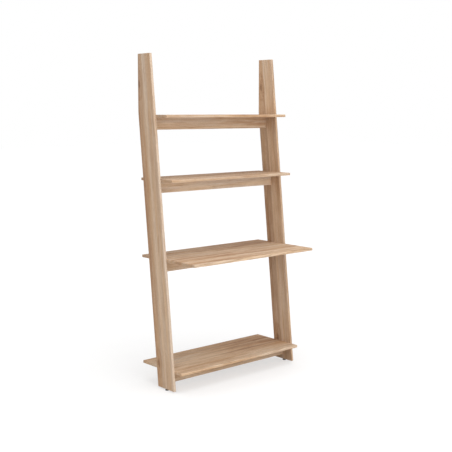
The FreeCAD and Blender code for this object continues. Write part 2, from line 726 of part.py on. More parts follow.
def draw_hexagon(sketch, across_flats):
    """A regular hexagon round the origin: equal sides, corners on a circle that is only a guide."""
    corners = [Vector(ROUGH, 0, 0)]
    sixth = FreeCAD.Rotation(Vector(0, 0, 1), 60)
    for _ in range(5):
        corners.append(sixth.multVec(corners[-1]))
    sides = add_loop(sketch, [(corner.x, corner.y) for corner in corners])
    guide = sketch.addGeometry(Part.Circle(Vector(0, 0, 0), Vector(0, 0, 1), ROUGH), True)
    sketch.addConstraint(Sketcher.Constraint("Coincident", guide, 3, -1, 1))
    for side in sides:
        sketch.addConstraint(Sketcher.Constraint("PointOnObject", side, 1, guide))
    for side in sides[1:]:
        sketch.addConstraint(Sketcher.Constraint("Equal", sides[0], side))
    sketch.addConstraint(Sketcher.Constraint("PointOnObject", sides[0], 1, -1))
    bind(sketch, "Radius", (guide,), f"{across_flats} / sqrt(3)")


def make_foot_pad(name, side):
    """A black disc with soft rims, under a hexagonal collar that meets the upright's lower end."""
    body = new_node(f"{name}_foot_pad")
    section = new_sketch(body, "section", "XY_Plane")
    add_circle(section, None, None, "Sizes.pad_diameter")
    disc = new_pad(body, "disc", section, "Sizes.pad_height")
    round_edges(body, "soft_rims", disc, "Sizes.pad_round", lambda edge: edge.isClosed())
    collar = new_sketch(body, "collar_section", "XY_Plane", "Sizes.pad_height")
    draw_hexagon(collar, "Sizes.collar_width")
    new_pad(body, "collar", collar, "Sizes.foot_height - Sizes.pad_height")
    stem_place = new_sketch(body, "stem_place", "XY_Plane", "Sizes.foot_height")
    diameter = "Sizes.stem_diameter + 2 * Sizes.fit_gap"
    add_circle(stem_place, None, None, diameter)
    drill(body, "stem_hole", stem_place, diameter, "Sizes.stem_root")
    place_on_foot_axis(body, side)


# The wall brackets. Each body's own origin lies on the wall, on the top shelf's underside.


def bracket_middle(side):
    return f"{side} * ({END} - Sizes.bracket_inset)"


def bracket_screw_places():
    """How far right of the middle each of the four bracket screws lies."""
    places = []
    for side in SIDES.values():
        for half in (-1, 1):
            places.append(f"{bracket_middle(side)} + {half} * Sizes.screw_spacing / 2")
    return places


def make_wall_bracket(name, side):
    """An angle of sheet steel: one leg under the shelf, one flat on the wall."""
    body = new_node(f"{name}_wall_bracket")
    outline = new_sketch(body, "outline", "YZ_Plane")
    add_profile(outline, [
        (None, None),
        ("-Sizes.bracket_shelf_leg", None),
        ("-Sizes.bracket_shelf_leg", "-Sizes.bracket_thickness"),
        ("-Sizes.bracket_thickness", "-Sizes.bracket_thickness"),
        ("-Sizes.bracket_thickness", "-Sizes.bracket_wall_leg"),
        (None, "-Sizes.bracket_wall_leg"),
    ])
    angle = new_pad(body, "angle", outline, "Sizes.bracket_width", both_ways=True)
    thickness = size("bracket_thickness")

    def at_corner(edge, depth):
        middle = edge.CenterOfMass
        return runs_along(edge, "x") and abs(middle.y + depth) < SMALL and abs(middle.z + depth) < SMALL

    inner = round_edges(body, "inner_bend", angle, "Sizes.bracket_bend",
                        lambda edge: at_corner(edge, thickness))
    outer = round_edges(body, "outer_bend", inner, "Sizes.bracket_bend + Sizes.bracket_thickness",
                        lambda edge: at_corner(edge, 0))
    shelf_end = SMALL - size("bracket_shelf_leg")
    wall_end = SMALL - size("bracket_wall_leg")
    round_edges(body, "free_corners", outer, "Sizes.bracket_corner", lambda edge: (
        (runs_along(edge, "z") and edge.CenterOfMass.y < shelf_end)
        or (runs_along(edge, "y") and edge.CenterOfMass.z < wall_end)))
    screw_places = new_sketch(body, "screw_places", "XY_Plane", "-Sizes.bracket_thickness")
    screw_hole = "Sizes.screw_diameter + 2 * Sizes.screw_hole_gap"
    for half in (-1, 1):
        add_circle(screw_places, f"{half} * Sizes.screw_spacing / 2", "-Sizes.screw_reach", screw_hole)
    drill(body, "screw_holes", screw_places, screw_hole, "2 * Sizes.bracket_thickness", reverse=True,
          countersink="Sizes.screw_head_diameter + 2 * Sizes.screw_head_rim + 2 * Sizes.fit_gap")
    wall_place = new_sketch(body, "wall_hole_place", "XZ_Plane")
    add_circle(wall_place, None, "-Sizes.wall_hole_drop", "Sizes.wall_hole_diameter")
    drill(body, "wall_hole", wall_place, "Sizes.wall_hole_diameter", "2 * Sizes.bracket_thickness",
          reverse=True)
    place(body, bracket_middle(side), WALL, "Sizes.top_level - Sizes.shelf_thickness")


def make_bracket_screws(screw):
    copies = []
    for across in bracket_screw_places():
        height = "-(Sizes.shelf_thickness + Sizes.bracket_thickness)"
        copies.append(copy_of(screw, FreeCAD.Rotation(), across, "-Sizes.screw_reach", height))
    group("bracket_screws", copies, WALL, "Sizes.top_level")


def build():
    fill_sheet()
    for name, side in SIDES.items():
        make_upright(name, side)
    for tier in TIERS:
        make_shelf(tier)
        make_rail(tier)
    dowel = make_dowel()
    bolt = make_cam_bolt()
    disc = make_cam_disc()
    for tier in TIERS:
        tier_dowels(tier, dowel)
        tier_cam_bolts(tier, bolt)
        tier_cam_discs(tier, disc)
    for name, side in SIDES.items():
        make_foot_insert(name, side)
        make_foot_stem(name, side)
        make_foot_pad(name, side)
        make_wall_bracket(name, side)
    make_bracket_screws(make_bracket_screw())
    doc.recompute()


def check():
    """Stops before anything is written if an object failed or a sub-part has no sound solid."""
    for thing in doc.Objects:
        if {"Invalid", "Error"} & set(thing.State):
            raise RuntimeError(f"{thing.Label} failed: {thing.State}")
    for node in nodes:
        if node.Shape.isNull() or not node.Shape.isValid() or not node.Shape.Solids:
            raise RuntimeError(f"{node.Label} has no valid solid")


def write_parts():
    os.makedirs("parts", exist_ok=True)
    for node in nodes:
        node.Shape.exportStep(f"parts/{node.Label}.step")
        print(f"{node.Label}: {len(node.Shape.Solids)} solids, {node.Shape.Volume:.0f} mm3")


build()
check()
write_parts()
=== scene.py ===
# %% [markdown]
# # A leaning ladder desk in oiled oak
# The desk is two leaning uprights with four shelves between them, each on a rail. The CAD model already
# holds every solid at its true size, so this lesson is about what Blender adds: wood that is cut from a
# log, plated steel, moulded nylon, and a quiet studio to see them in.
#
# The CAD solids are loaded first, as a fixed frame. They are never moved or reshaped; they only get
# materials. All lengths are in metres, +X is right, -Y is the front, +Z is up, and the wall would be
# behind the desk, on the +Y side.

# %% Load the desk
import json
import math

import bmesh
import bpy
from mathutils import Matrix, Vector


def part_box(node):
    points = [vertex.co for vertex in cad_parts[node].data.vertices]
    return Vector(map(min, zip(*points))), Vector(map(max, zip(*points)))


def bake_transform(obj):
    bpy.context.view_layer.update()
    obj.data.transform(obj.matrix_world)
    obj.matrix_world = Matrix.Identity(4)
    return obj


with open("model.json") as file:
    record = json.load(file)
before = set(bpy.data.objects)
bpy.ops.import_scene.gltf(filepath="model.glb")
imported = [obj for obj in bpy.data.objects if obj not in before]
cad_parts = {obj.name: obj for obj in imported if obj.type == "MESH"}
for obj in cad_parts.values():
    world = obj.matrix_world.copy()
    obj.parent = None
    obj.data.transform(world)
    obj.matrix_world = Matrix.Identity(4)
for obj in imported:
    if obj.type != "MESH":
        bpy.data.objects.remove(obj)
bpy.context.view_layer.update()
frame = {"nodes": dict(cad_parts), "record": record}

# %% [markdown]
# ## Small helpers for shader nodes
# A shader can be built by dragging nodes in the editor, or in Python. Python is chosen here because the
# same wood is laid ten times, once per board. A few short helpers keep that readable: they add any node,
# do arithmetic on single numbers, turn a number into a soft step, add a feature by its weight, and stretch
# a noise along the grain.

# %% Helpers for nodes


def add_node(tree, kind, sockets=None, **settings):
    """Adds a shader node. Settings are its properties, and sockets its inputs: values or other outputs."""
    made = tree.nodes.new("ShaderNode" + kind)
    for name, value in settings.items():
        setattr(made, name, value)
    for name, value in (sockets or {}).items():
        if isinstance(value, bpy.types.NodeSocket):
            tree.links.new(value, made.inputs[name])
        else:
            made.inputs[name].default_value = value
    return made


def arithmetic(tree, operation, *numbers):
    """The result of one arithmetic step on single numbers."""
    return add_node(tree, "Math", dict(enumerate(numbers)), operation=operation).outputs[0]


def soft_step(tree, number, low, high, result_low=0.0, result_high=1.0):
    """Goes smoothly from result_low to result_high while number goes from low to high."""
    sockets = {"Value": number, "From Min": low, "From Max": high,
               "To Min": result_low, "To Max": result_high}
    return add_node(tree, "MapRange", sockets, interpolation_type="SMOOTHSTEP").outputs["Result"]


def weighted(tree, total, feature, weight, rest=0.5):
    """Adds a feature to a total, so that a feature at its rest value changes nothing."""
    centred = arithmetic(tree, "SUBTRACT", feature, rest)
    return arithmetic(tree, "MULTIPLY_ADD", centred, weight, total)


def stretched_noise(tree, place, lumps, detail=2.0, roughness=0.5, shift=(0.0, 0.0, 0.0)):
    """Soft noise from 0 to 1, with a number of lumps per metre along each axis."""
    stretched = add_node(tree, "Mapping", {"Vector": place, "Scale": lumps, "Location": shift}).outputs[0]
    sockets = {"Vector": stretched, "Scale": 1.0, "Detail": detail, "Roughness": roughness}
    return add_node(tree, "TexNoise", sockets).outputs["Fac"]


def patches(tree, place, lumps, none, full, **noise):
    """Patches of a stretched noise: 0 where it is at the level none, 1 where it is at the level full."""
    return soft_step(tree, stretched_noise(tree, place, lumps, **noise), none, full)


print("helpers are ready")

# %% [markdown]
# ## How oak grows
# A plank shows what the saw cut through: growth rings are tubes round the heart of the log, and a board
# is a slice beside that heart. So the pattern is worked out in the round, as the distance from a heart
# line, and the cut does the rest. A stave beside the heart shows long straight lines, a stave that runs
# past it shows pointed arches, and the ends of the board show the same rings as arcs. A flat wood image
# could not agree on all six faces like that.
#
# X runs along the grain, Y across the board and Z through it. Each ring is about 3 mm wide. No log is
# perfectly round, so the rings also wander slowly along it and have small ripples.

# %% The growth rings

RING = 0.0031

# How far the heart of a plank's log lies from the board's middle: the least, and what chance may add.
HEART_ASIDE = 0.055
MORE_ASIDE = 0.10
HEART_BELOW = 0.02
MORE_BELOW = 0.09

# How far chance moves each plank along, across and through its log, so that no two are alike.
PLANK_SHIFT = (60.0, 9.0, 5.0)

# How far the rings stray from true circles: slowly along the log, and in small ripples.
WANDER = 0.045
RIPPLE = 0.0040


def heart_of_log(tree, seed):
    """How far to one side and how far below a plank's heart lies, and the plank's three chance numbers."""
    chance = add_node(tree, "TexWhiteNoise", {"W": seed}, noise_dimensions="1D").outputs["Color"]
    aside, below, toss = add_node(tree, "SeparateXYZ", {"Vector": chance}).outputs
    zero_or_one = arithmetic(tree, "FLOOR", arithmetic(tree, "MULTIPLY", toss, 2.0))
    side = arithmetic(tree, "MULTIPLY_ADD", zero_or_one, 2.0, -1.0)
    heart_aside = arithmetic(tree, "MULTIPLY_ADD", aside, MORE_ASIDE, HEART_ASIDE)
    heart_below = arithmetic(tree, "MULTIPLY_ADD", below, MORE_BELOW, HEART_BELOW)
    return arithmetic(tree, "MULTIPLY", side, heart_aside), heart_below, chance


def grow_rings(tree, place, seed):
    """Where in its log each point of a plank lies, and how far it is from the heart."""
    _, y, z = add_node(tree, "SeparateXYZ", {"Vector": place}).outputs
    heart_aside, heart_below, chance = heart_of_log(tree, seed)
    in_log = add_node(tree, "VectorMath", {0: chance, 1: PLANK_SHIFT, 2: place},
                      operation="MULTIPLY_ADD").outputs[0]
    across = arithmetic(tree, "SUBTRACT", y, heart_aside)
    through = arithmetic(tree, "ADD", z, heart_below)
    squares = arithmetic(tree, "ADD", arithmetic(tree, "POWER", across, 2.0),
                         arithmetic(tree, "POWER", through, 2.0))
    radius = arithmetic(tree, "SQRT", squares)
    wander = stretched_noise(tree, in_log, (0.9, 3.0, 3.0), detail=1.0)
    ripple = stretched_noise(tree, in_log, (6.0, 45.0, 45.0))
    radius = arithmetic(tree, "MULTIPLY_ADD", wander, WANDER, radius)
    radius = arithmetic(tree, "MULTIPLY_ADD", ripple, RIPPLE, radius)
    return in_log, radius


print("one growth ring is", RING * 1000, "mm wide")

# %% [markdown]
# ## A knot
# Where a branch left the trunk, the rings part and flow round it. That can be drawn by pushing the radius
# outwards in a soft bump, so that every ring near the bump bends round its middle, and by darkening the
# middle itself and a thin collar round it, where bark was caught. The bump is about three times as long
# along the grain as across it, as a knot's eye is, and a little noise keeps it from being a perfect oval.

# %% Rings that flow round a knot

# How much each axis counts for the distance from a knot. Through the board it counts for nothing, so a
# knot shows on both faces.
KNOT_STRETCH = (0.34, 1.0, 0.0)

# Across the grain: how ragged a knot's outline is, how far its bump reaches, and how far it pushes rings.
KNOT_RAGGED = 0.014
KNOT_REACH = 0.034
KNOT_PUSH = 0.026

# Distances between which the eye fades out, and the collar fades in and out again.
EYE_FADES = (0.002, 0.011)
COLLAR_STARTS = (0.018, 0.026)
COLLAR_FADES = (0.027, KNOT_REACH)


def push_round_knot(tree, place, radius, knot):
    """The radius with a bump at the knot, and how much of its eye, collar and bump each point has."""
    away = add_node(tree, "VectorMath", {0: place, 1: knot}, operation="SUBTRACT").outputs[0]
    oval = add_node(tree, "VectorMath", {0: away, 1: KNOT_STRETCH}, operation="MULTIPLY").outputs[0]
    distance = add_node(tree, "VectorMath", {0: oval}, operation="LENGTH").outputs["Value"]
    distance = weighted(tree, distance, stretched_noise(tree, place, (22.0, 60.0, 60.0)), KNOT_RAGGED)
    bump = soft_step(tree, distance, 0.0, KNOT_REACH, 1.0, 0.0)
    pushed = arithmetic(tree, "MULTIPLY_ADD", bump, KNOT_PUSH, radius)
    eye = soft_step(tree, distance, *EYE_FADES, 1.0, 0.0)
    collar = arithmetic(tree, "MULTIPLY", soft_step(tree, distance, *COLLAR_STARTS),
                        soft_step(tree, distance, *COLLAR_FADES, 1.0, 0.0))
    return pushed, eye, collar, bump


print("a knot bends the rings within", KNOT_REACH * 1000, "mm across the grain")

# %% [markdown]
# ## What the rings look like
# A ring starts with a band of open spring wood, which begins sharply and fades into the denser wood of
# the summer. No two years are alike, and whole groups of years grew lighter or darker, which is what
# still shows from across a room. All of it is read off the radius, so it follows the rings round a knot.

# %% Spring wood, and good and bad years

# Shares of a ring over which the spring wood starts, and over which it fades.
SPRING_STARTS = (0.0, 0.06)
SPRING_FADES = (0.25, 0.62)

# The first keeps the years of one plank apart from those of the next. The second is in lumps per metre.
YEARS_APART = 13.7
DECADES = 85.0


def ring_features(tree, radius, seed):
    """How much spring wood each point has, and how light its year and its group of years are."""
    count = arithmetic(tree, "DIVIDE", radius, RING)
    share = arithmetic(tree, "FRACT", count)
    spring = arithmetic(tree, "MULTIPLY", soft_step(tree, share, *SPRING_STARTS),
                        soft_step(tree, share, *SPRING_FADES, 1.0, 0.0))
    this_year = arithmetic(tree, "MULTIPLY_ADD", seed, YEARS_APART, arithmetic(tree, "FLOOR", count))
    year = add_node(tree, "TexWhiteNoise", {"W": this_year}, noise_dimensions="1D").outputs["Value"]
    slow = arithmetic(tree, "MULTIPLY", radius, DECADES)
    line = add_node(tree, "CombineXYZ", {"X": slow, "Y": seed}).outputs[0]
    decades = add_node(tree, "TexNoise", {"Vector": line, "Scale": 1.0, "Detail": 2.0}).outputs["Fac"]
    return {"spring": spring, "year": year, "decades": soft_step(tree, decades, 0.30, 0.70)}


print("the spring wood has faded by", round(SPRING_FADES[1] * 100), "percent of a ring's width")

# %% [markdown]
# ## What the eye reads as oak
# Several things sit on top of the rings. Pores are short dark dashes, dense in the spring wood and rare
# after it. Rays are slim paler flecks. Fibres are faint streaks, flames are as long as a finger, and
# heartwood streaks are broader and longer than a hand. Veins are sparse reddish lines. Each is its own
# noise, stretched along the grain as far as the real thing is long.

# %% Pores, rays, fibres, streaks and veins

# The level above which a dash is a pore: the first in summer wood, the second in spring wood.
PORE_LEVELS = (0.70, 0.50)
PORE_EDGE = 0.06


def oak_features(tree, place, seed, knots):
    """The parts of the wood's look, each as a number from 0 to 1."""
    in_log, radius = grow_rings(tree, place, seed)
    eye, collar, halo = 0.0, 0.0, 0.0
    for knot in knots:
        radius, this_eye, this_collar, this_halo = push_round_knot(tree, place, radius, knot)
        eye = arithmetic(tree, "MAXIMUM", eye, this_eye)
        collar = arithmetic(tree, "MAXIMUM", collar, this_collar)
        halo = arithmetic(tree, "MAXIMUM", halo, this_halo)
    rings = ring_features(tree, radius, seed)
    dashes = stretched_noise(tree, in_log, (140.0, 2300.0, 2300.0), detail=1.0)
    level = soft_step(tree, rings["spring"], 0.0, 1.0, *PORE_LEVELS)
    return rings | {
        "eye": eye,
        "collar": collar,
        "halo": halo,
        "pores": soft_step(tree, arithmetic(tree, "SUBTRACT", dashes, level), 0.0, PORE_EDGE),
        "rays": patches(tree, in_log, (95.0, 700.0, 160.0), 0.66, 0.76, detail=1.0),
        "heartwood": patches(tree, in_log, (1.9, 26.0, 26.0), 0.54, 0.30, detail=3.0, roughness=0.62),
        "streaks": stretched_noise(tree, in_log, (3.2, 85.0, 85.0), detail=3.0, roughness=0.62),
        "fibres": stretched_noise(tree, in_log, (9.0, 420.0, 420.0), detail=3.0, roughness=0.65),
        "flames": stretched_noise(tree, in_log, (13.0, 60.0, 60.0), roughness=0.6),
        "veins": patches(tree, in_log, (4.2, 70.0, 70.0), 0.57, 0.70, shift=(3.0, 1.0, 7.0)),
        "warmth": patches(tree, in_log, (1.5, 38.0, 38.0), 0.32, 0.68, shift=(7.0, 3.0, 1.0)),
    }


print("features: knots with a collar, pores, rays, heartwood, streaks, fibres, flames, veins, warmth")

# %% [markdown]
# ## From a tone to a colour
# The tone is one number, how light the wood is, and a colour ramp turns it into oak. One oak colour could
# be multiplied by the tone instead, but a ramp keeps the hues right: dark oak is redder and light oak is
# paler. A second noise warms or cools it a little, because heartwood varies in hue as well. Veins, pores
# and knots are laid on after that, as the pores are holes with dark oil in them. Sawn ends drink more oil
# than the faces, so they are a little darker and greyer.

# %% The colours of oak

OAK_TONES = [
    (0.00, (0.248, 0.131, 0.070)),
    (0.25, (0.384, 0.227, 0.133)),
    (0.50, (0.500, 0.337, 0.220)),
    (0.75, (0.590, 0.440, 0.315)),
    (1.00, (0.672, 0.537, 0.414)),
]
WARM = (1.025, 0.973, 0.893, 1.0)
COOL = (0.982, 1.012, 1.058, 1.0)
PORE_COLOUR = (0.165, 0.095, 0.052, 1.0)
KNOT_COLOUR = (0.165, 0.082, 0.042, 1.0)
VEIN_COLOUR = (0.335, 0.188, 0.102, 1.0)
END_COLOUR = (0.92, 0.93, 0.95, 1.0)

# What is laid over the oak, how strongly, and in which colour.
LAID_OVER = [("veins", 0.42, VEIN_COLOUR), ("pores", 0.55, PORE_COLOUR),
             ("collar", 0.40, VEIN_COLOUR), ("eye", 0.62, KNOT_COLOUR)]


def fill_ramp(ramp, stops):
    """Sets a colour ramp to a list of (position, colour)."""
    while len(ramp.elements) > 1:
        ramp.elements.remove(ramp.elements[-1])
    ramp.elements[0].position = stops[0][0]
    ramp.elements[0].color = (*stops[0][1], 1.0)
    for position, colour in stops[1:]:
        ramp.elements.new(position).color = (*colour, 1.0)


def blend_colours(tree, factor, first, second, how="MIX"):
    """The second colour laid over the first, as far as the factor says."""
    return add_node(tree, "Mix", {"Factor": factor, "A": first, "B": second},
                    data_type="RGBA", blend_type=how).outputs["Result"]


def colour_oak(tree, tone, wood, tint):
    """The colour of oak as light as the tone says, with its hue, its tint and what is laid over it."""
    ramp = add_node(tree, "ValToRGB", {"Fac": tone})
    fill_ramp(ramp.color_ramp, OAK_TONES)
    hue = blend_colours(tree, wood["warmth"], COOL, WARM)
    colour = blend_colours(tree, 1.0, ramp.outputs["Color"], hue, "MULTIPLY")
    colour = blend_colours(tree, 1.0, colour, tint, "MULTIPLY")
    for name, strength, shade in LAID_OVER:
        colour = blend_colours(tree, arithmetic(tree, "MULTIPLY", wood[name], strength), colour, shade)
    return blend_colours(tree, wood["end grain"], colour, END_COLOUR, "MULTIPLY")


print("oak runs through", len(OAK_TONES), "tones, with", len(LAID_OVER), "things laid over them")

# %% [markdown]
# ## One group for all the boards
# A node group is a piece of a shader with sockets of its own. Every board could hold its own copy of the
# oak, but with one group a change to the wood changes all of them. What differs from board to board comes
# in through the sockets, and the group gives back a colour, a roughness and a height.
#
# The oil is a matt one, and sawn ends are duller still, with a calmer figure. A pore is about a tenth of a
# millimetre deep, and the spring wood lies a few hundredths lower than the rest.

# %% The oak node group

OAK_INPUTS = {"Place": "Vector", "High knot": "Vector", "Low knot": "Vector", "Tone": "Float",
              "Figure": "Float", "Seed": "Float", "End grain": "Float", "Tint": "Color"}
OAK_OUTPUTS = {"Colour": "Color", "Roughness": "Float", "Height": "Float"}

# Each feature with its weight, and the level at which it changes nothing. The figure is what a board can
# have more or less of, and the grain is the same on all of them.
FIGURE = [("decades", 0.20, 0.5), ("heartwood", -0.30, 0.22), ("streaks", 0.50, 0.5), ("flames", 0.45, 0.5)]
GRAIN = [("year", 0.10, 0.5), ("halo", -0.08, 0.0), ("fibres", 0.40, 0.5), ("spring", -0.15, 0.3),
         ("rays", 0.07, 0.0)]
DULLNESS = [("pores", 0.16, 0.0), ("fibres", 0.12, 0.5), ("end grain", 0.18, 0.0)]
RELIEF = [("pores", -0.6, 0.0), ("spring", -0.12, 0.0), ("fibres", 0.12, 0.5)]

# The roughness and the height where all features are at that level, and what a sawn end takes from the
# figure.
OILED_ROUGHNESS = 0.64
SURFACE = 0.8
CALM_ENDS = -0.7


def add_up(tree, total, wood, weights):
    """Adds features to a total by a list of weights."""
    for name, weight, rest in weights:
        total = weighted(tree, total, wood[name], weight, rest)
    return total


def make_oak_group():
    """The node group that every board shares."""
    tree = bpy.data.node_groups.new("Oiled oak", "ShaderNodeTree")
    for way, sockets in (("INPUT", OAK_INPUTS), ("OUTPUT", OAK_OUTPUTS)):
        for name, kind in sockets.items():
            tree.interface.new_socket(name=name, in_out=way, socket_type="NodeSocket" + kind)
    given = tree.nodes.new("NodeGroupInput").outputs
    wood = oak_features(tree, given["Place"], given["Seed"], (given["High knot"], given["Low knot"]))
    wood["end grain"] = given["End grain"]

    figure = add_up(tree, 0.0, wood, FIGURE)
    calm = arithmetic(tree, "MULTIPLY_ADD", wood["end grain"], CALM_ENDS, 1.0)
    liveliness = arithmetic(tree, "MULTIPLY", given["Figure"], calm)
    tone = arithmetic(tree, "MULTIPLY_ADD", figure, liveliness, given["Tone"])
    tone = add_up(tree, tone, wood, GRAIN)
    results = tree.nodes.new("NodeGroupOutput").inputs
    tree.links.new(colour_oak(tree, tone, wood, given["Tint"]), results["Colour"])
    tree.links.new(add_up(tree, OILED_ROUGHNESS, wood, DULLNESS), results["Roughness"])
    tree.links.new(add_up(tree, SURFACE, wood, RELIEF), results["Height"])
    return tree


OAK = make_oak_group()
print("the oak group has", len(OAK.nodes), "nodes")

# %% [markdown]
# ## Which way the grain runs
# The grain follows the board: along the length of shelves and rails, and along the slope of the uprights.
# Each board could be unwrapped and laid out flat, but then its faces and ends would not agree. A Mapping
# node turns the object's own coordinates into the board's instead, with its middle at zero, and as the
# CAD solids never move, the wood stays put in them at every pose.

# %% The place of each point in its board


def board_axes(along, across):
    """The rotation that takes the desk's axes to a board's: along the grain, across it and through it."""
    along, across = Vector(along).normalized(), Vector(across).normalized()
    return Matrix((along, across, along.cross(across)))


def measure_board(node_name, turn, width):
    """The middle of a board in its own axes, its length along the grain and its width across it."""
    low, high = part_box(node_name)
    corners = [turn @ Vector((x, y, z)) for x in (low.x, high.x) for y in (low.y, high.y)
               for z in (low.z, high.z)]
    length, span = [max(c[axis] for c in corners) - min(c[axis] for c in corners) for axis in (0, 1)]
    return turn @ ((low + high) / 2), length, width or span


def place_in_board(tree, turn, middle):
    """Each point's place from the board's middle, and the way that the surface faces there."""
    coordinates = add_node(tree, "TexCoord").outputs
    place = add_node(tree, "Mapping", {"Vector": coordinates["Object"], "Rotation": turn.to_euler(),
                                       "Location": -middle}).outputs[0]
    facing = add_node(tree, "Mapping", {"Vector": coordinates["Normal"], "Rotation": turn.to_euler()},
                      vector_type="NORMAL").outputs[0]
    return place, facing


print("places in a board can be read")

# %% [markdown]
# ## Boards glued up from staves
# Wide boards are glued up from staves, and each stave comes from another plank. A list of staves says
# where each one starts across the board, which plank it is, and how light it is at its four corners. Each
# stave could be a mesh of its own, but the glued board is one solid, so the list goes into its material.
# Two colour ramps hold it: one with hard steps picks the plank, and one with slopes gives the tones, its
# red channel for the end where the grain starts and its green channel for the other end. Glue lines are
# straight, but the tone follows the growth of the tree, so its bounds wander a little.

# %% The staves of a board

# A ramp reads from 0 to 1, so a plank's number is kept as a share of PLANKS.
PLANKS = 40.0

# Shares of a board's width: how far the tone's slope reaches into each stave, and how far it wanders.
TONE_SLOPE = 0.014
TONE_WANDER = 0.07


def lay_staves(tree, across, along, wander, staves):
    """The plank and the tone at each place in a board. The tone's bounds wander with the grain."""
    ends = [stave[0] for stave in staves[1:]] + [1.0]
    planks = add_node(tree, "ValToRGB", {"Fac": across})
    planks.color_ramp.interpolation = "CONSTANT"
    fill_ramp(planks.color_ramp, [(start, [plank / PLANKS] * 3) for start, plank, *_ in staves])
    tones = add_node(tree, "ValToRGB", {"Fac": weighted(tree, across, wander, TONE_WANDER)})
    stops = []
    for (start, _, *front_and_rear), end in zip(staves, ends):
        stops += [(start + TONE_SLOPE, (*front_and_rear[:2], 0.0)),
                  (end - TONE_SLOPE, (*front_and_rear[2:], 0.0))]
    fill_ramp(tones.color_ramp, stops)
    near, far, _ = add_node(tree, "SeparateColor", {"Color": tones.outputs["Color"]}).outputs
    seed = arithmetic(tree, "MULTIPLY", planks.outputs["Color"], PLANKS)
    tone = arithmetic(tree, "MULTIPLY_ADD", along, arithmetic(tree, "SUBTRACT", far, near), near)
    return seed, tone


print("staves can be laid")

# %% [markdown]
# ## Putting the oak on a board
# Each board gets a material of its own, which works out its staves and hands them to the shared group. It
# also finds the ends and the long edges, by the way that the surface faces. A Bump node turns the height
# into light and shade: the pores are far too fine to be cut into the mesh.

# %% A material for each board

# A knot's place is along the grain and across it, from the middle. This one is far outside any board.
NO_KNOT = (5.0, 5.0)
PLAIN = (1.0, 1.0, 1.0)

# A surface turns into an end or an edge as it comes to face that way, from the first share to the second.
FACES_THAT_WAY = (0.80, 0.95)

# The depth that a height of 1 stands for, how strongly light shows it, and the shine of the oil.
RELIEF_DEPTH = 0.0002
RELIEF_STRENGTH = 0.5
OIL_SHINE = 0.10


def shade_with_oak(tree, oak):
    """Leads the colour, the roughness and the height of the oak to the material's shader."""
    relief = add_node(tree, "Bump", {"Height": oak["Height"], "Strength": RELIEF_STRENGTH,
                                     "Distance": RELIEF_DEPTH})
    shader = tree.nodes["Principled BSDF"]
    tree.links.new(oak["Colour"], shader.inputs["Base Color"])
    tree.links.new(oak["Roughness"], shader.inputs["Roughness"])
    tree.links.new(relief.outputs["Normal"], shader.inputs["Normal"])
    shader.inputs["Specular IOR Level"].default_value = OIL_SHINE


def lay_oak(node_name, along, across, staves, width=None, knots=(NO_KNOT, NO_KNOT), figure=1.0,
            painted_edge_light=0.06, tint=PLAIN):
    """Gives a board its own oak. A stave is its start, its plank and the tones of its four corners."""
    turn = board_axes(along, across)
    middle, length, width = measure_board(node_name, turn, width)
    material = bpy.data.materials.new(f"Oak of {node_name}")
    material.use_nodes = True
    tree = material.node_tree
    place, facing = place_in_board(tree, turn, middle)
    end, edge, _ = [arithmetic(tree, "ABSOLUTE", part)
                    for part in add_node(tree, "SeparateXYZ", {"Vector": facing}).outputs]
    x, y, _ = add_node(tree, "SeparateXYZ", {"Vector": place}).outputs
    wander = stretched_noise(tree, place, (2.4, 14.0, 14.0), shift=(staves[0][1], 0.0, 0.0))
    seed, tone = lay_staves(tree, arithmetic(tree, "MULTIPLY_ADD", y, 1 / width, 0.5),
                            soft_step(tree, x, -length / 2, length / 2), wander, staves)
    # The long edges get a painted highlight: their tone is raised where the surface faces across the board.
    tone = arithmetic(tree, "MULTIPLY_ADD", soft_step(tree, edge, *FACES_THAT_WAY), painted_edge_light, tone)
    oak = add_node(tree, "Group", node_tree=OAK)
    for name, value in (("Place", place), ("Tone", tone), ("Seed", seed),
                        ("End grain", soft_step(tree, end, *FACES_THAT_WAY))):
        tree.links.new(value, oak.inputs[name])
    oak.inputs["High knot"].default_value = (*knots[0], 0.0)
    oak.inputs["Low knot"].default_value = (*knots[1], 0.0)
    oak.inputs["Figure"].default_value = figure
    oak.inputs["Tint"].default_value = (*tint, 1.0)
    shade_with_oak(tree, oak.outputs)
    board = frame["nodes"][node_name]
    board.data.materials.clear()
    board.data.materials.append(material)


print("boards can be laid")

# %% [markdown]
# ## The ten boards
# The uprights get a browner rear third, and small knots near the rear edge. The desk top runs from a pale
# front stave to a brown one at the wall, with a narrow brown stave behind the front one. The bottom shelf
# and the desk top's rear stave get darker towards the right, partly in their own tone and partly as painted
# shade where the right upright shades them. The desk top and the bottom shelf are also a shade warmer than
# the rest. Each rail is one narrow piece of timber. The long edges carry a painted highlight, a paler tone
# where
# the light catches them: a little on the shelves and rails, most on the left upright, and none on the
# right.

# %% Uprights, shelves and rails

# An upright leans back by LEAN over a height of RISE.
LEAN = 0.196
RISE = 1.842
UP_THE_SLOPE = (0.0, LEAN, RISE)
OFF_THE_SLOPE = (0.0, RISE, -LEAN)
ALONG = (1.0, 0.0, 0.0)
BACK = (0.0, 1.0, 0.0)
UP = (0.0, 0.0, 1.0)

# The box round a leaning board is wider than the board, so the uprights' width is given here.
UPRIGHT_WIDTH = 0.1422
SHELF_FIGURE = 1.25
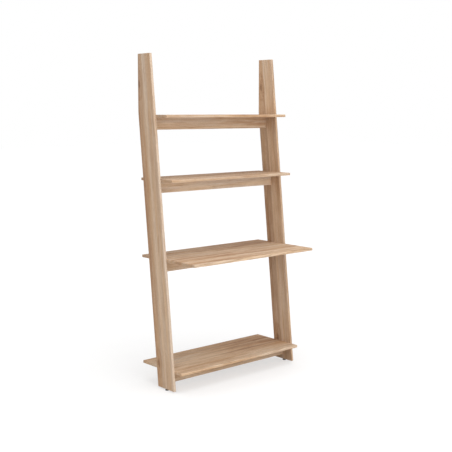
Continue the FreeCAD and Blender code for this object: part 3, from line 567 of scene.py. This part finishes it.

# Each stave: its start, its plank, its front edge at the left and right end, its rear edge at the same.
# On the uprights the two ends are the foot and the top, and a knot's place is along the slope and back.
# Each upright's last entry is a painted highlight on its long edges, a paler tone, given to the left
# upright only.
UPRIGHTS = {
    "left_upright": {
        "staves": [(0.0, 24.83, 0.76, 0.66, 0.74, 0.58),
                   (0.33, 17.22, 0.63, 0.58, 0.77, 0.79),
                   (0.66, 30.74, 0.63, 0.61, 0.46, 0.34)],
        "knots": ((0.765, 0.062), (-0.785, 0.066)),
        "figure": 0.50,
        "painted_edge_light": 0.18,
    },
    "right_upright": {
        "staves": [(0.0, 22.29, 0.65, 0.65, 0.61, 0.56),
                   (0.34, 24.88, 0.66, 0.66, 0.72, 0.77),
                   (0.66, 12.66, 0.52, 0.55, 0.41, 0.42)],
        "knots": ((0.765, 0.050), (-0.79, 0.052)),
        "figure": 0.70,
        "painted_edge_light": 0.0,
    },
}
# The desk top's rear stave and the bottom shelf get darker towards the right end, partly in their own tone
# and partly as painted shade where the right upright shades them.
SHELVES = {
    "top_shelf": [(0.0, 2.2, 0.52, 0.52, 0.54, 0.54),
                  (0.34, 8.1, 0.54, 0.54, 0.52, 0.52),
                  (0.70, 12.7, 0.44, 0.44, 0.38, 0.38)],
    "second_shelf": [(0.0, 22.77, 0.50, 0.54, 0.49, 0.48),
                     (0.30, 25.49, 0.50, 0.41, 0.47, 0.37),
                     (0.64, 27.25, 0.46, 0.34, 0.43, 0.30)],
    "desk_top": [(0.0, 1.76, 0.64, 0.61, 0.50, 0.63),
                 (0.24, 15.18, 0.31, 0.47, 0.37, 0.53),
                 (0.36, 13.48, 0.62, 0.62, 0.70, 0.64),
                 (0.73, 1.38, 0.50, 0.31, 0.50, 0.28)],
    "bottom_shelf": [(0.0, 3.54, 0.69, 0.72, 0.71, 0.68),
                     (0.25, 30.29, 0.92, 0.53, 1.00, 0.37),
                     (0.50, 17.92, 1.00, 0.41, 0.86, 0.43),
                     (0.77, 24.41, 0.70, 0.35, 0.57, 0.31)],
}
TINTS = {"desk_top": (1.005, 0.990, 0.965), "bottom_shelf": (1.012, 0.975, 0.925)}

# Each rail: its plank and its tone.
RAILS = {"top_rail": (19.1, 0.60), "second_rail": (25.9, 0.82),
         "desk_rail": (9.2, 0.70), "bottom_rail": (30.1, 0.68)}

for name, look in UPRIGHTS.items():
    lay_oak(name, UP_THE_SLOPE, OFF_THE_SLOPE, width=UPRIGHT_WIDTH, **look)
for name, staves in SHELVES.items():
    lay_oak(name, ALONG, BACK, staves, figure=SHELF_FIGURE, tint=TINTS.get(name, PLAIN))
for name, (plank, tone) in RAILS.items():
    lay_oak(name, ALONG, UP, [(0.0, plank, tone, tone, tone, tone)])
print("oak boards:", len(UPRIGHTS) + len(SHELVES) + len(RAILS))

# %% [markdown]
# ## The fittings
# Under the boards there are parts that few people see: turned beech dowels, zinc-plated bolts, screws and
# brackets, cam discs of cast zinc, and the two black nylon feet. One flat colour each would do from afar.
# Close by, a real surface is never even, so each finish is a Principled shader whose colour and roughness
# come from noise at the scale of the real surface: the cloudy spangle of zinc plate, the fine grain of a
# casting, the faint spark-eroded texture of a mould.

# %% A finish from two noises

# The levels between which the clouds go from the first colour to the second, and both noises together
# from the first roughness to the second.
CLOUD_LEVELS = (0.32, 0.68)
DULL_LEVELS = (0.2, 0.8)
GRAIN_STRENGTH = 0.6


def make_finish(name, colours, roughness, clouds, grain, relief, metallic=0.0):
    """A Principled finish whose colour and roughness each run from a first value to a second."""
    material = bpy.data.materials.new(name)
    material.use_nodes = True
    tree = material.node_tree
    shader = tree.nodes["Principled BSDF"]
    place = add_node(tree, "TexCoord").outputs["Object"]
    cloud = patches(tree, place, (clouds, clouds, clouds), *CLOUD_LEVELS, detail=3.0, roughness=0.65)
    fine = stretched_noise(tree, place, (grain, grain, grain))
    ramp = add_node(tree, "ValToRGB", {"Fac": cloud})
    fill_ramp(ramp.color_ramp, [(0.0, colours[0]), (1.0, colours[1])])
    half_cloud = arithmetic(tree, "MULTIPLY", cloud, 0.5)
    mean = arithmetic(tree, "MULTIPLY_ADD", fine, 0.5, half_cloud)
    dull = soft_step(tree, mean, *DULL_LEVELS, *roughness)
    bump = add_node(tree, "Bump", {"Height": fine, "Strength": GRAIN_STRENGTH, "Distance": relief})
    tree.links.new(ramp.outputs["Color"], shader.inputs["Base Color"])
    tree.links.new(dull, shader.inputs["Roughness"])
    tree.links.new(bump.outputs["Normal"], shader.inputs["Normal"])
    shader.inputs["Metallic"].default_value = metallic
    return material


print("finishes can be made")

# %% The finish of each fitting

# Clouds and grain are in lumps per metre, and relief is the depth of the grain.
FINISHES = {
    "beech": make_finish("Turned beech", [(0.52, 0.33, 0.20), (0.64, 0.43, 0.28)], (0.50, 0.65),
                         clouds=300.0, grain=1500.0, relief=0.00008),
    "zinc_steel": make_finish("Bright zinc plate", [(0.56, 0.57, 0.59), (0.70, 0.71, 0.72)], (0.22, 0.40),
                              clouds=130.0, grain=900.0, relief=0.00002, metallic=1.0),
    "cam_metal": make_finish("Cast zinc", [(0.42, 0.42, 0.43), (0.54, 0.54, 0.55)], (0.38, 0.55),
                             clouds=260.0, grain=2600.0, relief=0.00003, metallic=1.0),
    "black_nylon": make_finish("Black nylon", [(0.012, 0.012, 0.013), (0.020, 0.020, 0.021)],
                               (0.42, 0.58), clouds=220.0, grain=3200.0, relief=0.00003),
}
fitted = 0
for part in frame["record"]["subparts"]:
    finish = FINISHES.get(part["material_slot"])
    if finish is not None:
        mesh = frame["nodes"][part["node"]].data
        mesh.materials.clear()
        mesh.materials.append(finish)
        fitted += 1
print("fittings with a finish:", fitted)

# %% [markdown]
# ## The floor of the studio
# The desk stands on a plain pale floor that fades into a white surround. Both are white to the eye. If
# they gave off as much light as that, they would bleach the boards and drown the desk's shadow. So only
# the rays that see them directly, or in a reflection, get the full white, and the rays that gather light
# for the desk meet something softer. A Light Path node tells the two kinds of rays apart.

# %% What the floor looks like

# How much light the floor gives back: the first to the desk, the second to the eye, which also sees it
# glow. The glow grows from the first strength to the second between two distances from the desk.
PALE = (0.78, 0.42)
GLOW = (0.575, 0.70)
GLOW_GROWS = (0.4, 4.0)
FLOOR_ROUGHNESS = 0.9
FLOOR_SHINE = 0.1


def seen_directly(tree):
    """1 for rays that look at a surface, directly or in a reflection, and 0 for rays that gather light."""
    rays = add_node(tree, "LightPath").outputs
    seen = arithmetic(tree, "MAXIMUM", rays["Is Camera Ray"], rays["Is Glossy Ray"])
    return arithmetic(tree, "MAXIMUM", seen, rays["Is Transmission Ray"])


def make_floor_material():
    """A pale floor that fades into the white surround and keeps the desk's shadow."""
    material = bpy.data.materials.new("Pale floor")
    material.use_nodes = True
    tree = material.node_tree
    shader = tree.nodes["Principled BSDF"]
    seen = seen_directly(tree)
    pale = add_node(tree, "CombineXYZ", {axis: soft_step(tree, seen, 0.0, 1.0, *PALE) for axis in "XYZ"})
    tree.links.new(pale.outputs[0], shader.inputs["Base Color"])
    shader.inputs["Roughness"].default_value = FLOOR_ROUGHNESS
    shader.inputs["Specular IOR Level"].default_value = FLOOR_SHINE
    place = add_node(tree, "TexCoord").outputs["Object"]
    away = add_node(tree, "VectorMath", {0: place}, operation="LENGTH").outputs["Value"]
    fade = soft_step(tree, away, *GLOW_GROWS, *GLOW)
    glow = add_node(tree, "Emission", {"Strength": arithmetic(tree, "MULTIPLY", seen, fade)})
    both = add_node(tree, "AddShader", {0: shader.outputs[0], 1: glow.outputs[0]})
    tree.links.new(both.outputs[0], tree.nodes["Material Output"].inputs["Surface"])
    return material


FLOOR_MATERIAL = make_floor_material()
print("the floor's material is", FLOOR_MATERIAL.name)

# %% [markdown]
# ## A floor in two halves
# The wall holds the desk up, so a foot that is screwed out goes down, and would sink into a stiff floor.
# The floor is made in two halves, which meet in the middle of the desk.
#
# Each half starts as a square grid, which is cut into strips, moved so that one rim lies in the middle of
# the desk, and scaled. Its outer rim is then extruded far out, in one piece.

# %% The two halves of the floor

# The floor reaches this far. It is cut into strips between the middle and LEVEL_FROM, and is one piece from
# there on.
FLOOR_REACH = 30.0
LEVEL_FROM = 0.40
FLOOR_STRIPS = 16


def make_half_floor(name, side, material):
    """The floor on one side of the middle, in strips out to LEVEL_FROM and in one piece beyond."""
    sheet = bmesh.new()
    bmesh.ops.create_grid(sheet, x_segments=FLOOR_STRIPS, y_segments=1, size=0.5)
    bmesh.ops.translate(sheet, verts=sheet.verts, vec=(0.5, 0.0, 0.0))
    bmesh.ops.scale(sheet, verts=sheet.verts, vec=(side * LEVEL_FROM, side * 2 * FLOOR_REACH, 1.0))
    rim = max(sheet.edges, key=lambda edge: min(abs(corner.co.x) for corner in edge.verts))
    pulled = bmesh.ops.extrude_edge_only(sheet, edges=[rim])["geom"]
    far_corners = [item for item in pulled if isinstance(item, bmesh.types.BMVert)]
    bmesh.ops.translate(sheet, verts=far_corners, vec=(side * (FLOOR_REACH - LEVEL_FROM), 0.0, 0.0))
    mesh = bpy.data.meshes.new(name)
    sheet.to_mesh(mesh)
    sheet.free()
    mesh.shade_smooth()
    facing = {round(face.normal.z) for face in mesh.polygons}
    print(name, "has", len(mesh.polygons), "strips, facing", sorted(facing))
    mesh.materials.append(material)
    half = bpy.data.objects.new(name, mesh)
    bpy.context.scene.collection.objects.link(half)
    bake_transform(half)


make_half_floor("studio_floor_left", -1, FLOOR_MATERIAL)
make_half_floor("studio_floor_right", 1, FLOOR_MATERIAL)

# %% [markdown]
# ## Light from all round, and from three lamps
# A sky of even white light does most of the work, as a light tent would. Small lamps would add hard
# shadows, so three broad ones give the faces their different tones: one in front for edges and rails, one
# overhead for the shelves, and a faint one on the left.

# %% The surround

# How strong the white is for the rays that gather light, and for those that see it.
SKY_LIGHT = 0.714
SKY_SEEN = 1.0


def make_surround():
    """A white world: full white where it is seen, and softer where it only lights the desk."""
    world = bpy.data.worlds.new("White surround")
    bpy.context.scene.world = world
    world.use_nodes = True
    tree = world.node_tree
    background = tree.nodes["Background"]
    background.inputs["Color"].default_value = (1.0, 1.0, 1.0, 1.0)
    strength = soft_step(tree, seen_directly(tree), 0.0, 1.0, SKY_LIGHT, SKY_SEEN)
    tree.links.new(strength, background.inputs["Strength"])


make_surround()
print("the surround is", bpy.context.scene.world.name)

# %% The lamps

DESK_MIDDLE = Vector((0.0, 0.0, 0.9))

# Each lamp: its place, its width and height, and its power in watts.
LAMPS = {
    "front_softbox": ((-0.6, -3.8, 1.4), 2.8, 2.0, 53.0),
    "left_softbox": ((-3.6, -1.6, 2.2), 2.4, 2.0, 19.9),
    "top_softbox": ((0.0, -0.8, 4.2), 3.0, 3.0, 72.2),
}


def add_soft_lamp(name, place, width, height, watts):
    """A broad rectangular lamp that faces the middle of the desk."""
    data = bpy.data.lights.new(name, "AREA")
    data.shape = "RECTANGLE"
    data.size = width
    data.size_y = height
    data.energy = watts
    lamp = bpy.data.objects.new(name, data)
    bpy.context.scene.collection.objects.link(lamp)
    lamp.location = place
    lamp.rotation_euler = (DESK_MIDDLE - Vector(place)).to_track_quat("-Z", "Y").to_euler()


for name, (place, width, height, watts) in LAMPS.items():
    add_soft_lamp(name, place, width, height, watts)

# %% [markdown]
# ## The camera
# The camera stands to the front left of the desk, five metres away and at about eye height, on a long
# lens: from close by, with a wide one, the near upright would look far bigger than the other. It is tipped
# down by a few degrees, and a slight lens shift takes over part of that tip, so that upright lines stay
# close to parallel. The lens follows from the size of the picture: the focal length in pixels, times the
# sensor's width, over the picture's width.

# %% The camera

# The picture's width and height in pixels, and the sensor's width in millimetres.
PICTURE = 452
SENSOR = 36.0


def add_camera(place, turn, pitch, focal_pixels, axis_row):
    """A camera turned to the right and tipped down by degrees, whose axis meets the picture at axis_row."""
    data = bpy.data.cameras.new("viewpoint")
    data.sensor_width = SENSOR
    data.lens = focal_pixels * SENSOR / PICTURE
    data.shift_y = (axis_row - PICTURE / 2) / PICTURE
    data.clip_start = 0.1
    data.clip_end = 100.0
    camera = bpy.data.objects.new("viewpoint", data)
    bpy.context.scene.collection.objects.link(camera)
    camera.location = place
    camera.rotation_euler = (math.radians(90.0 - pitch), 0.0, math.radians(-turn))
    bpy.context.scene.camera = camera
    return camera


camera = add_camera(place=(-3.3082, -3.7510, 1.5315), turn=41.194, pitch=6.521, focal_pixels=874.1,
                    axis_row=212.0)
print("lens", round(camera.data.lens, 1), "mm, shift", round(camera.data.shift_y, 3))

# %% [markdown]
# ## Finishing
# The Standard view shows colours as they were written, with no film look on top.

# %% Finish
bpy.context.scene.view_settings.view_transform = "Standard"
